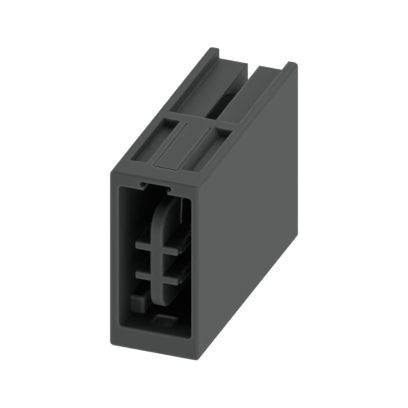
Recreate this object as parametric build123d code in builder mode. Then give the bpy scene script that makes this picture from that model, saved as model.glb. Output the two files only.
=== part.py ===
"""Single-position pin header: one moulded housing, as wide as one pitch of 10.16 mm.

Frame: origin at the middle of the underside, +Z up, mouth towards -Y, all lengths in millimetres.
A plug slides into the mouth along +Y, over the tongue that stands on the rear wall.
"""
from build123d import *
import os

# Outside of the housing
body_width = 10.16
body_depth = 29.65
body_height = 21.1
long_edge_radius = 0.45
end_edge_radius = 0.3

# Chamber that takes the plug
left_wall = 1.08
right_wall = 0.87
floor_thickness = 2.58
roof_thickness = 1.62
rear_wall = 3.65
chamber_corner_radius = 0.4
mouth_edge_radius = 0.18
roof_slope_length = 3.1
roof_slope_drop = 1.6

# T-shaped keyway in the roof, a little to the right of the middle
key_offset = 0.15
key_width = 3.52
key_height = 0.56
key_end_radius = 0.2
key_lip_width = 0.41
key_lip_thickness = 0.4

# Tongue: an upright blade crossed by two flat plates
tongue_setback = 0.7
blade_thickness = 1.42
blade_gap_below = 1.96
blade_gap_above = 2.98
blade_edge_radius = 0.25
blade_nose_radius = 2.5
blade_pad_setback = 5.9
blade_pad_lift = 0.12
blade_pad_rise = 0.15
blade_pad_lean = 0.4
blade_pad_edge_radius = 0.1
plate_width = 4.84
plate_thickness = 0.87
plate_height = 6.14
plate_pitch = 3.58
plate_edge_radius = 0.2
plate_lip_setback = 1.95
plate_lip_width = 0.45
plate_lip_drop = 0.3

# Guide rib along the left foot of the chamber
rib_width = 1.55
rib_height = 1.9
rib_setback = 3.5
rib_edge_radius = 0.4
rib_wall_overlap = 0.12

# Square latch window in the floor
window_size = 2.12
window_setback = 1.75
window_offset = 0.06
window_corner_radius = 0.2
window_rim_radius = 0.1

# Two pockets in the front half of the top, with a label field between them
pocket_setback = 3.12
pocket_length = 9.9
pocket_depth = 0.95
pocket_corner_radius = 0.1
pocket_rim_radius = 0.1
left_pocket_rim = 1.19
left_pocket_width = 1.84
right_pocket_rim = 1.14
right_pocket_width = 2.1
right_pocket_slope = 0.68
right_pocket_bulge = 0.06
field_setback = 2.6
field_length = 10.1
field_left_rim = 0.8
field_right_rim = 0.2
field_groove_width = 0.2
field_groove_depth = 0.08

# Channel in the rear half of the top, open at the back, with a slot along it
bar_width = 1.59
channel_depth = 1.26
channel_left_rim = 1.17
channel_right_rim = 1.14
channel_rim_radius = 0.1
channel_foot_radius = 0.12
slot_width = 1.32
slot_offset = -0.04

# Places worked out from the sizes above
front_y = -body_depth / 2
rear_y = body_depth / 2
left_x = -body_width / 2
right_x = body_width / 2
chamber_left_x = left_x + left_wall
chamber_right_x = right_x - right_wall
chamber_end_y = rear_y - rear_wall
roof_z = body_height - roof_thickness
tongue_front_y = front_y + tongue_setback
tongue_root_y = chamber_end_y + rear_wall / 3
blade_bottom_z = floor_thickness + blade_gap_below
blade_top_z = roof_z - blade_gap_above
lower_plate_z = floor_thickness + plate_height
upper_plate_z = lower_plate_z + plate_pitch
pad_front_y = front_y + blade_pad_setback
pad_bottom_z = upper_plate_z + plate_thickness / 2 + blade_pad_lift
pocket_front_y = front_y + pocket_setback
pocket_end_y = pocket_front_y + pocket_length
pocket_mid_y = (pocket_front_y + pocket_end_y) / 2
pocket_floor_z = body_height - pocket_depth
left_pocket_x = left_x + left_pocket_rim
right_pocket_x = right_x - right_pocket_rim
slope_x = right_pocket_x - right_pocket_width
channel_front_y = pocket_end_y + bar_width
runout = 1.0

# The mouth plane looks out of the mouth, so a negative extrusion goes into the housing
mouth_plane = Plane.XZ.offset(-front_y)
top_plane = Plane.XY.offset(body_height)

# Core of the chamber: its roof turns down before the rear wall
with BuildPart() as chamber_core:
    with BuildSketch(Plane.YZ.offset(chamber_left_x)):
        with BuildLine():
            Polyline(
                (front_y - runout, floor_thickness),
                (chamber_end_y, floor_thickness),
                (chamber_end_y, roof_z - roof_slope_drop),
                (chamber_end_y - roof_slope_length, roof_z),
                (front_y - runout, roof_z),
                close=True,
            )
        make_face()
    extrude(amount=chamber_right_x - chamber_left_x)
    fillet(chamber_core.edges().filter_by(Axis.Y), radius=chamber_corner_radius)

# Blade of the tongue: a flat upright bar with a round nose and softened edges
with BuildPart() as blade:
    with BuildSketch(Plane.YZ) as blade_outline:
        with BuildLine():
            Polyline(
                (tongue_front_y, blade_bottom_z),
                (tongue_root_y, blade_bottom_z),
                (tongue_root_y, blade_top_z),
                (tongue_front_y, blade_top_z),
                close=True,
            )
        make_face()
        fillet(blade_outline.vertices().group_by(Axis.X)[0], radius=blade_nose_radius)
    extrude(amount=blade_thickness / 2, both=True)
    side_edges = blade.faces().filter_by(Axis.X).edges()
    fillet(side_edges - side_edges.group_by(Axis.Y)[-1], radius=blade_edge_radius)

# Plates of the tongue: two flat bars that cross the blade, flush with its nose
with BuildPart() as plates:
    with BuildSketch(Plane.XZ.offset(-tongue_front_y)):
        with Locations((0, lower_plate_z), (0, upper_plate_z)):
            Rectangle(plate_width, plate_thickness)
    extrude(amount=tongue_front_y - tongue_root_y)
    plate_edges = plates.edges()
    fillet(plate_edges - plate_edges.group_by(Axis.Y)[-1], radius=plate_edge_radius)

# Lips that hang from both side edges of each plate
with BuildPart() as plate_lips:
    lip_height = plate_lip_drop + plate_thickness / 2
    lip_x = plate_width / 2 - plate_lip_width / 2
    with BuildSketch(Plane.XZ.offset(-front_y - plate_lip_setback)):
        for plate_z in (lower_plate_z, upper_plate_z):
            with Locations((-lip_x, plate_z - lip_height / 2), (lip_x, plate_z - lip_height / 2)):
                Rectangle(plate_lip_width, lip_height)
    extrude(amount=front_y + plate_lip_setback - tongue_root_y)

# Pad that thickens the blade above the upper plate, behind the nose; its front edge leans back
with BuildPart() as blade_pad:
    with BuildSketch(Plane.YZ):
        with BuildLine():
            Polyline(
                (pad_front_y, pad_bottom_z),
                (tongue_root_y, pad_bottom_z),
                (tongue_root_y, blade_top_z),
                (pad_front_y + blade_pad_lean, blade_top_z),
                close=True,
            )
        make_face()
    extrude(amount=blade_thickness / 2 + blade_pad_rise, both=True)
    pad_edges = blade_pad.faces().filter_by(Axis.X).edges()
    fillet(pad_edges - pad_edges.group_by(Axis.Y)[-1], radius=blade_pad_edge_radius)

# Guide rib: it grows out of the left wall and the floor, and its front end is rounded at the top and sides
with BuildPart() as guide_rib:
    with BuildSketch(Plane.XZ.offset(-front_y - rib_setback)):
        with Locations((chamber_left_x + rib_width, floor_thickness + rib_height)):
            Rectangle(
                rib_width + rib_wall_overlap,
                rib_height + floor_thickness / 2,
                align=(Align.MAX, Align.MAX),
            )
    extrude(amount=front_y + rib_setback - tongue_root_y)
    rib_front_edges = guide_rib.faces().filter_by(Axis.Y).sort_by(Axis.Y)[0].edges()
    rib_corner = guide_rib.edges().filter_by(Axis.Y).group_by(Axis.Z)[-1].sort_by(Axis.X)[-1]
    fillet(rib_front_edges.sort_by(Axis.Z)[1:] + [rib_corner], radius=rib_edge_radius)

with BuildPart() as header_housing:
    # Outer block with softened edges
    with BuildSketch(mouth_plane):
        Rectangle(body_width, body_height, align=(Align.CENTER, Align.MIN))
    extrude(amount=-body_depth)
    fillet(header_housing.edges().filter_by(Axis.Y), radius=long_edge_radius)
    end_faces = header_housing.faces().filter_by(Axis.Y)
    fillet(end_faces.edges(), radius=end_edge_radius)

    add(chamber_core.part, mode=Mode.SUBTRACT)

    # Keyway: a wide part above two lips, as long as the pockets reach
    with BuildSketch(mouth_plane) as key_section:
        with Locations((key_offset, roof_z + key_lip_thickness)):
            Rectangle(key_width, key_height, align=(Align.CENTER, Align.MIN))
        fillet(key_section.vertices(), radius=key_end_radius)
        with Locations((key_offset, roof_z - key_lip_thickness)):
            Rectangle(
                key_width - 2 * key_lip_width,
                2 * key_lip_thickness + key_height / 2,
                align=(Align.CENTER, Align.MIN),
            )
    extrude(amount=-pocket_setback - pocket_length, mode=Mode.SUBTRACT)

    mouth_face = header_housing.faces().filter_by(Axis.Y).sort_by(Axis.Y)[0]
    fillet(mouth_face.inner_wires()[0].edges(), radius=mouth_edge_radius)

    # Latch window through the floor
    with BuildSketch(Plane.XY) as window_outline:
        with Locations((window_offset, front_y + window_setback + window_size / 2)):
            Rectangle(window_size, window_size)
        fillet(window_outline.vertices(), radius=window_corner_radius)
    extrude(amount=floor_thickness + blade_gap_below / 2, mode=Mode.SUBTRACT)
    fillet(header_housing.edges(Select.LAST).group_by(Axis.Z)[-1], radius=window_rim_radius)

    # Left pocket, with upright walls
    with BuildSketch(top_plane) as left_pocket_outline:
        with Locations((left_pocket_x + left_pocket_width / 2, pocket_mid_y)):
            Rectangle(left_pocket_width, pocket_length)
        fillet(left_pocket_outline.vertices(), radius=pocket_corner_radius)
    extrude(amount=-pocket_depth, mode=Mode.SUBTRACT)
    fillet(header_housing.edges(Select.LAST).group_by(Axis.Z)[-1], radius=pocket_rim_radius)

    # Right pocket, whose inner side is a slope that bulges a little
    slope_top = Vector(slope_x, body_height)
    slope_foot = Vector(slope_x + right_pocket_slope, pocket_floor_z)
    slope_across = Vector(pocket_depth, right_pocket_slope).normalized()
    with BuildSketch(Plane.XZ.offset(-pocket_front_y)):
        with BuildLine():
            ThreePointArc(
                slope_foot,
                (slope_top + slope_foot) / 2 + slope_across * right_pocket_bulge,
                slope_top,
            )
            Polyline(
                slope_top,
                (slope_x, body_height + runout),
                (right_pocket_x, body_height + runout),
                (right_pocket_x, pocket_floor_z),
                slope_foot,
            )
        make_face()
    extrude(amount=-pocket_length, mode=Mode.SUBTRACT)
    fillet(header_housing.edges(Select.LAST).group_by(Axis.Z)[-1], radius=pocket_rim_radius)

    # Label field between the pockets, set off by a fine groove at its left, front and right
    field_left_x = left_pocket_x + left_pocket_width + field_left_rim
    field_width = slope_x - field_right_rim - field_left_x
    with BuildSketch(top_plane):
        with Locations((field_left_x, front_y + field_setback)):
            Rectangle(field_width, field_length, align=(Align.MIN, Align.MIN))
        with Locations((field_left_x + field_groove_width, front_y + field_setback + field_groove_width)):
            Rectangle(
                field_width - 2 * field_groove_width,
                field_length,
                align=(Align.MIN, Align.MIN),
                mode=Mode.SUBTRACT,
            )
    extrude(amount=-field_groove_depth, mode=Mode.SUBTRACT)

    # Channel that runs out at the back, and the slot that opens it to the chamber
    with BuildSketch(Plane.XZ.offset(-channel_front_y)) as channel_section:
        with Locations((left_x + channel_left_rim, body_height - channel_depth)):
            Rectangle(
                body_width - channel_left_rim - channel_right_rim,
                channel_depth + runout,
                align=(Align.MIN, Align.MIN),
            )
        fillet(channel_section.vertices().group_by(Axis.Y)[0], radius=channel_foot_radius)
    extrude(amount=channel_front_y - rear_y - runout, mode=Mode.SUBTRACT)
    channel_rims = header_housing.edges(Select.LAST).group_by(Axis.Z)[-1]
    fillet(channel_rims, radius=channel_rim_radius)
    with BuildSketch(top_plane):
        with Locations((slot_offset, channel_front_y)):
            Rectangle(slot_width, rear_y + runout - channel_front_y, align=(Align.CENTER, Align.MIN))
    extrude(amount=blade_top_z - body_height, mode=Mode.SUBTRACT)

    # Inner forms, all rooted in the rear wall
    add(blade.part)
    add(plates.part)
    add(plate_lips.part)
    add(blade_pad.part)
    add(guide_rib.part)

header_housing.part.label = "header_housing"

os.makedirs("parts", exist_ok=True)
export_step(header_housing.part, "parts/header_housing.step")
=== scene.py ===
# %% [markdown]
# # A pin header in dark moulded plastic
# The object is one plastic moulding: a tall box with a mouth at the front, a cross-shaped tongue in its
# chamber and recesses on top. The solid model already has all of that shape, so this lesson is about
# the rest: a plastic that looks moulded and not painted, a camera without perspective, and soft light.
# Everything is in metres, in the frame of the solid model.

# %% Load the solid model
import bpy
import math
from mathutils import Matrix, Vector


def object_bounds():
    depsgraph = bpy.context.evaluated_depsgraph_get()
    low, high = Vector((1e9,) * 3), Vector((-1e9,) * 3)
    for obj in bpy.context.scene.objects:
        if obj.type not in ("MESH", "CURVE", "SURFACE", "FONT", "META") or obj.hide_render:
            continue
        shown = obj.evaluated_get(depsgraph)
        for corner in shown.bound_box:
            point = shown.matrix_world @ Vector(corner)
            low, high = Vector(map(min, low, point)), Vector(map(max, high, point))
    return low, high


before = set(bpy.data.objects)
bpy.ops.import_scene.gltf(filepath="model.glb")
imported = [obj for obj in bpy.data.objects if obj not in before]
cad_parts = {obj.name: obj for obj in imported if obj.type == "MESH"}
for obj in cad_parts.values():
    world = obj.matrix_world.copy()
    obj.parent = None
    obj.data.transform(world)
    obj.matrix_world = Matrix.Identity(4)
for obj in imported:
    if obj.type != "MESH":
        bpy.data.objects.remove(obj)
bpy.context.view_layer.update()
cad_low, cad_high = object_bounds()
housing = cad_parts["header_housing"]
print("box of the solid model, in mm:", [round(1000 * side, 2) for side in cad_high - cad_low])

# %% [markdown]
# ## Sums on sockets
# A moulded finish is built from a few noises that are added, scaled and mixed. Placing each Math node by
# hand hides what is being worked out, so a small class wraps a socket and turns the signs of an ordinary
# sum into Math nodes. One method makes every other kind of node.

# %% A socket that takes part in sums
class Wire:
    """An output socket of a material's node tree. A wire with no socket is the empty tree's own start."""

    def __init__(self, tree, socket=None):
        self.tree = tree
        self.socket = socket

    def node(self, kind, settings, sockets, output=0):
        """Adds a node of that kind: its settings first, then its sockets, then the wire that comes out."""
        made = self.tree.nodes.new(kind)
        for name, value in settings.items():
            setattr(made, name, value)
        for name, value in sockets.items():
            if isinstance(value, Wire):
                self.tree.links.new(value.socket, made.inputs[name])
            else:
                made.inputs[name].default_value = value
        return Wire(self.tree, made.outputs[output] if made.outputs else None)

    def math(self, operation, first, second):
        return self.node("ShaderNodeMath", {"operation": operation}, {0: first, 1: second})

    def __add__(self, other):
        return self.math("ADD", self, other)

    def __radd__(self, other):
        return self.math("ADD", other, self)

    def __sub__(self, other):
        return self.math("SUBTRACT", self, other)

    def __rsub__(self, other):
        return self.math("SUBTRACT", other, self)

    def __mul__(self, other):
        return self.math("MULTIPLY", self, other)

    def __rmul__(self, other):
        return self.math("MULTIPLY", other, self)


print("signs that add Math nodes: + - *")

# %% [markdown]
# ## Moulded plastic
# Housings like this one are moulded in a filled plastic, coloured dark grey all through. Their moulds are
# spark-eroded, so the skin is a field of tiny pits, which spreads every reflection into a soft sheen. Under
# the pits the colour drifts a little, as the melt flowed. A flat grey would show none of this. A painted
# image would, but it stretches over the inner walls. So the finish is worked out from each point's place in
# the object: three noises of different sizes give the flow, a mottle and the pits.

# %% Places and noises
plastic = bpy.data.materials.new("moulded_plastic")
plastic.use_nodes = True
plastic.node_tree.nodes.clear()
start = Wire(plastic.node_tree)
place = start.node("ShaderNodeTexCoord", {}, {}, output="Object")


def noise(size, detail, roughness):
    """Noise from 0 to 1 whose lumps are about size metres across."""
    return start.node(
        "ShaderNodeTexNoise",
        {},
        {"Vector": place, "Scale": 1 / size, "Detail": detail, "Roughness": roughness},
    )


flow_size = 0.0035
mottle_size = 0.0006
pit_size = 0.00009
flow = noise(flow_size, detail=3.0, roughness=0.5)
mottle = noise(mottle_size, detail=4.0, roughness=0.6)
pits = noise(pit_size, detail=3.0, roughness=0.55)
print("flow, mottle and pits, in mm:", [1000 * size for size in (flow_size, mottle_size, pit_size)])

# %% [markdown]
# ## Corners
# A mould cannot give a dead sharp corner. The corners also get a painted highlight: a paler grey that
# stands in for the bright lines that light draws along edges. The Bevel node looks round each point and
# answers with the normal that a small round would have. The Ambient Occlusion node, turned to look into the
# plastic, asks how thin it is there. On a flat wall it meets nothing within its reach, beside a corner it
# meets the next face, so what it misses is a mask of just the corners, where the painted highlight goes. Its
# reach has to stay below the thinnest wall, the roof under the channel, or that whole wall would count as
# corner.

# %% Rounds and a mask of the corners
corner_radius = 0.00015
corner_reach = 0.00028
corner_samples = 8
faintest_corner = 0.03
full_corner = 0.14
rounded = start.node("ShaderNodeBevel", {"samples": corner_samples}, {"Radius": corner_radius})
thickness = start.node(
    "ShaderNodeAmbientOcclusion",
    {"samples": corner_samples, "inside": True, "only_local": True},
    {"Distance": corner_reach},
    output="AO",
)
corner = start.node(
    "ShaderNodeMapRange",
    {"clamp": True},
    {"Value": 1 - thickness, "From Min": faintest_corner, "From Max": full_corner},
)
print("corner round and reach, in mm:", 1000 * corner_radius, 1000 * corner_reach)

# %% [markdown]
# ## Knowing a place
# The colour of the moulding differs from place to place: outside, in the chamber, where shade is painted in,
# and under the slot, where light is painted in. One could cut the mesh into pieces with a material each, but
# then the colour would end at hard borders and the mesh would no longer be the solid model's. So each
# point's place is measured from the sides of the box, and three small helpers turn such a measure into a
# mask.

# %% Places inside the box
across, along, up = (
    start.node("ShaderNodeSeparateXYZ", {}, {"Vector": place}, output=axis) for axis in ("X", "Y", "Z")
)
behind_mouth = along - cad_low.y
above_underside = up - cad_low.z
below_top = cad_high.z - up
before_back = cad_high.y - along


def is_over(wire, bound):
    """One where the wire is over the bound, nought elsewhere."""
    return start.math("GREATER_THAN", wire, bound)


def near(wire, middle, reach):
    """One where the wire is within reach of the middle, nought elsewhere."""
    return start.math("LESS_THAN", start.math("ABSOLUTE", wire - middle, 0.0), reach)


def rise(wire, low, high):
    """Climbs softly from nought, where the wire is at the low value, to one at the high value."""
    return start.node(
        "ShaderNodeMapRange",
        {"clamp": True, "interpolation_type": "SMOOTHSTEP"},
        {"Value": wire, "From Min": low, "From Max": high},
    )


print("helpers that turn a measure into a mask: is_over, near and rise")

# %% [markdown]
# ## Painted shade in the chamber, painted light under the slot
# The chamber is given a deeper grey. This is painted shade, so that its inside grows dark as it goes in. The
# mask of the chamber is one or nought at its walls, but it fades in behind the mouth, so the painted shade
# deepens with depth. What shows through the slot is given a paler grey instead, which is painted light. It
# takes over just before the slot starts.

# %% Masks of the painted shade and the painted light
chamber_reach = 0.00435
underside_skin = 0.0003
top_skin = 0.0015
back_skin = 0.0003
chamber_shade_start = 0.0008
chamber_shade_full = 0.0040
slot_start = 0.0133
slot_full = 0.0143
off_underside = is_over(above_underside, underside_skin)
off_top = is_over(below_top, top_skin)
off_back = is_over(before_back, back_skin)
inside = near(across, 0.0, chamber_reach) * off_underside * off_top * off_back
under_slot = rise(behind_mouth, slot_start, slot_full)
# painted shade: the chamber's deeper grey fades in behind the mouth and stops where the slot's painted light
# starts
deep_in_chamber = inside * rise(behind_mouth, chamber_shade_start, chamber_shade_full) * (1 - under_slot)
# painted light: where the paler grey under the slot goes
chamber_under_slot = inside * under_slot
# these are where the painted shade in the chamber starts and is full
print("polish starts and is full, in mm behind the mouth:", 1000 * chamber_shade_start, 1000 * chamber_shade_full)

# %% [markdown]
# ## Corners without the painted highlight
# The painted highlight is left off some corners. The edges on top that face right keep the grey of their
# faces: the one that the left pocket and the channel share, that of the right pocket's slope and, lower
# down, that of the slot. So do the small front ends of the lips under the tongue's plates. Each of them is
# known by its place and left out of the mask.

# %% A mask of the corners with the painted highlight
left_wall_edge = -0.0039
slope_edge = 0.00184
slot_edge = -0.0007
edge_reach = 0.0004
rim_depth = 0.0005
pocket_start = 0.0029
lip_middle = 0.0023
lip_start = 0.00195
lip_reach = 0.0003
in_rims = 1 - is_over(below_top, rim_depth)
rim_edges = near(across, left_wall_edge, edge_reach) + near(across, slope_edge, edge_reach)
rims_without_highlight = rim_edges * in_rims * is_over(behind_mouth, pocket_start)
slot_edge_without_highlight = near(across, slot_edge, edge_reach) * (1 - in_rims) * is_over(behind_mouth, slot_start)
along_lips = near(start.math("ABSOLUTE", across, 0.0), lip_middle, lip_reach)
lip_ends_without_highlight = along_lips * near(behind_mouth, lip_start, lip_reach)
# painted highlight: the corners that get the paler grey
painted_corner_highlight = corner * (1 - rims_without_highlight - slot_edge_without_highlight) * (1 - lip_ends_without_highlight)
print("edges that stay dark, in mm across:", 1000 * left_wall_edge, 1000 * slot_edge, 1000 * slope_edge)

# %% [markdown]
# ## Colour, sheen and pits together
# The colour stays close to one grey, a shade towards green as on the real one. It is deeper in the chamber,
# which is painted shade, and lighter under the slot, which is painted light. The corners are paler, which is
# a painted highlight, and a little smoother. The pits go through a Bump node, which tilts the rounded
# normal, so that the sheen breaks up at the scale of the skin.
# What is the same everywhere, the weak gloss of the plastic, is set on the shader's own sockets.

# %% The finish
grey_dark = (0.0480, 0.0526, 0.0503, 1.0)
grey_light = (0.0548, 0.0596, 0.0574, 1.0)
# painted shade: the deeper grey of the chamber
chamber_shade_grey = (0.0270, 0.0296, 0.0283, 1.0)
# painted highlight: paler greys for the corners, palest deep in the chamber
corner_highlight_grey = (0.0820, 0.0890, 0.0860, 1.0)
chamber_corner_highlight_grey = (0.1500, 0.1620, 0.1560, 1.0)
# painted light: the paler grey of what shows through the slot
slot_light_grey = (0.0920, 0.0985, 0.0955, 1.0)
plain_roughness = 0.56
mottle_roughness = 0.08
corner_smoothness = 0.1
pit_depth = 0.00001
pit_strength = 0.25
# a Mix node has sockets for numbers, vectors and colours, and these are the places of those for colours
first_colour, second_colour, mixed_colour = 6, 7, 2


def blend(factor, first, second):
    """A colour that goes from the first to the second as the factor goes from 0 to 1."""
    return start.node(
        "ShaderNodeMix",
        {"data_type": "RGBA", "clamp_factor": True},
        {"Factor": factor, first_colour: first, second_colour: second},
        output=mixed_colour,
    )


shade = (flow + mottle) * 0.5
skin = blend(shade, grey_dark, grey_light)
faces = blend(chamber_under_slot, blend(deep_in_chamber, skin, chamber_shade_grey), slot_light_grey)
# painted highlight on the corners, over the painted shade and painted light of the faces
colour = blend(painted_corner_highlight, faces, blend(deep_in_chamber, corner_highlight_grey, chamber_corner_highlight_grey))
roughness = plain_roughness + mottle_roughness * mottle - corner_smoothness * painted_corner_highlight
bump = start.node(
    "ShaderNodeBump",
    {},
    {"Strength": pit_strength, "Distance": pit_depth, "Height": pits, "Normal": rounded},
)
surface = start.node(
    "ShaderNodeBsdfPrincipled",
    {},
    {"Base Color": colour, "Roughness": roughness, "IOR": 1.5, "Specular IOR Level": 0.3, "Normal": bump},
)
start.node("ShaderNodeOutputMaterial", {}, {"Surface": surface})
housing.data.materials[0] = plastic
print("nodes in the finish:", len(plastic.node_tree.nodes))

# %% [markdown]
# ## A camera without perspective
# The real header was shown in a parallel view: its long edges do not draw together. So the camera is
# orthographic. Two angles place it round the object, and one scale, in picture points per metre, sets how
# wide its view is. The target is the middle of the object, moved a little along the picture's upright.

# %% Camera
picture_points = 408
points_per_metre = 9435.0
azimuth = math.radians(21.01)
elevation = math.radians(28.74)
camera_distance = 0.25
target_rise = -0.000025

back = Vector((
    math.sin(azimuth) * math.cos(elevation),
    -math.cos(azimuth) * math.cos(elevation),
    math.sin(elevation),
))
upright = Vector((
    -math.sin(azimuth) * math.sin(elevation),
    math.cos(azimuth) * math.sin(elevation),
    math.cos(elevation),
))
target = (cad_low + cad_high) / 2 + target_rise * upright
camera_data = bpy.data.cameras.new("parallel_camera")
camera_data.type = "ORTHO"
camera_data.ortho_scale = picture_points / points_per_metre
camera_data.clip_start = 0.001
camera_data.clip_end = 2.0
camera = bpy.data.objects.new("parallel_camera", camera_data)
camera.location = target + camera_distance * back
camera.rotation_mode = "QUATERNION"
camera.rotation_quaternion = (-back).to_track_quat("-Z", "Y")
bpy.context.scene.collection.objects.link(camera)
bpy.context.scene.camera = camera
print("width of the view, in mm:", round(1000 * camera_data.ortho_scale, 2))

# %% [markdown]
# ## A floor that shines
# The real header was shown on pure white with no shadow. A sheet of paper would catch one, so the floor is
# a light table: one large sheet of opal glass, lit evenly from below. Seen from above, the upright sides
# mirror this floor and little else, so it is also their main light, and its brightness is the unit for
# all the lamps.

# %% Floor
floor_reach = 1.5
floor_brightness = 1.0
floor_mesh = bpy.data.meshes.new("light_table")
turns = [(-1, -1), (1, -1), (1, 1), (-1, 1)]
floor_corners = [(x * floor_reach, y * floor_reach, cad_low.z) for x, y in turns]
floor_mesh.from_pydata(floor_corners, [], [(0, 1, 2, 3)])
floor = bpy.data.objects.new("light_table", floor_mesh)
bpy.context.scene.collection.objects.link(floor)
opal = bpy.data.materials.new("opal_glass")
opal.use_nodes = True
floor_shader = opal.node_tree.nodes["Principled BSDF"]
floor_shader.inputs["Base Color"].default_value = (0.05, 0.05, 0.05, 1.0)
floor_shader.inputs["Roughness"].default_value = 1.0
floor_shader.inputs["Specular IOR Level"].default_value = 0.0
floor_shader.inputs["Emission Color"].default_value = (1.0, 1.0, 1.0, 1.0)
floor_shader.inputs["Emission Strength"].default_value = floor_brightness
floor_mesh.materials.append(opal)
print("floor side, in mm:", 2000 * floor_reach)

# %% [markdown]
# ## Soft boxes
# Each lamp is a soft box, described as a photographer would: how far it is turned from the mouth, how high
# it stands, how wide and tall it looks from the object, and how bright its cloth is beside the floor. The
# top and the floors of its pockets mirror the box behind. The right box lifts the rims that face it, and
# the left ones draw a line on the small rounds. In front there is only a low strip: it reaches the first
# few millimetres of the chamber, while light from higher up would fill what has to fade into the dark.

# %% Soft boxes
box_distance = 0.6
white = (1.0, 1.0, 1.0)
cool_white = (0.955, 1.0, 1.0)
# for each box: turn, height, width and tallness in degrees, then brightness and tint
boxes_round = {
    "left_strip": (-90, 9, 45, 18, 4.0, white),
    "left_box": (-90, 31.5, 45, 27, 2.2, white),
    "right_box": (90, 27, 45, 36, 2.1, white),
    "back_box": (180, 22.5, 45, 45, 2.2, cool_white),
    "front_strip": (20, 4.5, 60, 9, 5.0, white),
    "top_box": (180, 67.5, 60, 45, 1.0, cool_white),
}


def soft_box(name, turn, height, wide, tall, brightness, tint):
    """Hangs one soft box so that it faces the object, and gives its power."""
    turned = math.radians(turn)
    raised = math.radians(height)
    outwards = Vector((
        math.sin(turned) * math.cos(raised),
        -math.cos(turned) * math.cos(raised),
        math.sin(raised),
    ))
    lamp_data = bpy.data.lights.new(name, "AREA")
    lamp_data.shape = "RECTANGLE"
    lamp_data.size = 2 * box_distance * math.tan(math.radians(wide / 2))
    lamp_data.size_y = 2 * box_distance * math.tan(math.radians(tall / 2))
    # a flat cloth sends out pi times its brightness from each square metre
    lamp_data.energy = math.pi * brightness * lamp_data.size * lamp_data.size_y
    lamp_data.color = tint
    lamp = bpy.data.objects.new(name, lamp_data)
    lamp.location = (cad_low + cad_high) / 2 + box_distance * outwards
    lamp.rotation_mode = "QUATERNION"
    lamp.rotation_quaternion = (-outwards).to_track_quat("-Z", "Y")
    bpy.context.scene.collection.objects.link(lamp)
    return round(lamp_data.energy, 2)


for box_name, box_settings in boxes_round.items():
    print(box_name, "in watts:", soft_box(box_name, *box_settings))

# %% [markdown]
# ## Room
# The room round the lamps is dim and even. The Standard view transform keeps each grey as it is worked out,
# where a filmic one would lift the darks and dull the white.

# %% Room
room_strength = 0.1
room = bpy.data.worlds.new("dim_room")
room.use_nodes = True
room.node_tree.nodes["Background"].inputs["Color"].default_value = (1.0, 1.0, 1.0, 1.0)
room.node_tree.nodes["Background"].inputs["Strength"].default_value = room_strength
bpy.context.scene.world = room
bpy.context.scene.view_settings.view_transform = "Standard"
print("strength of the room:", room_strength)
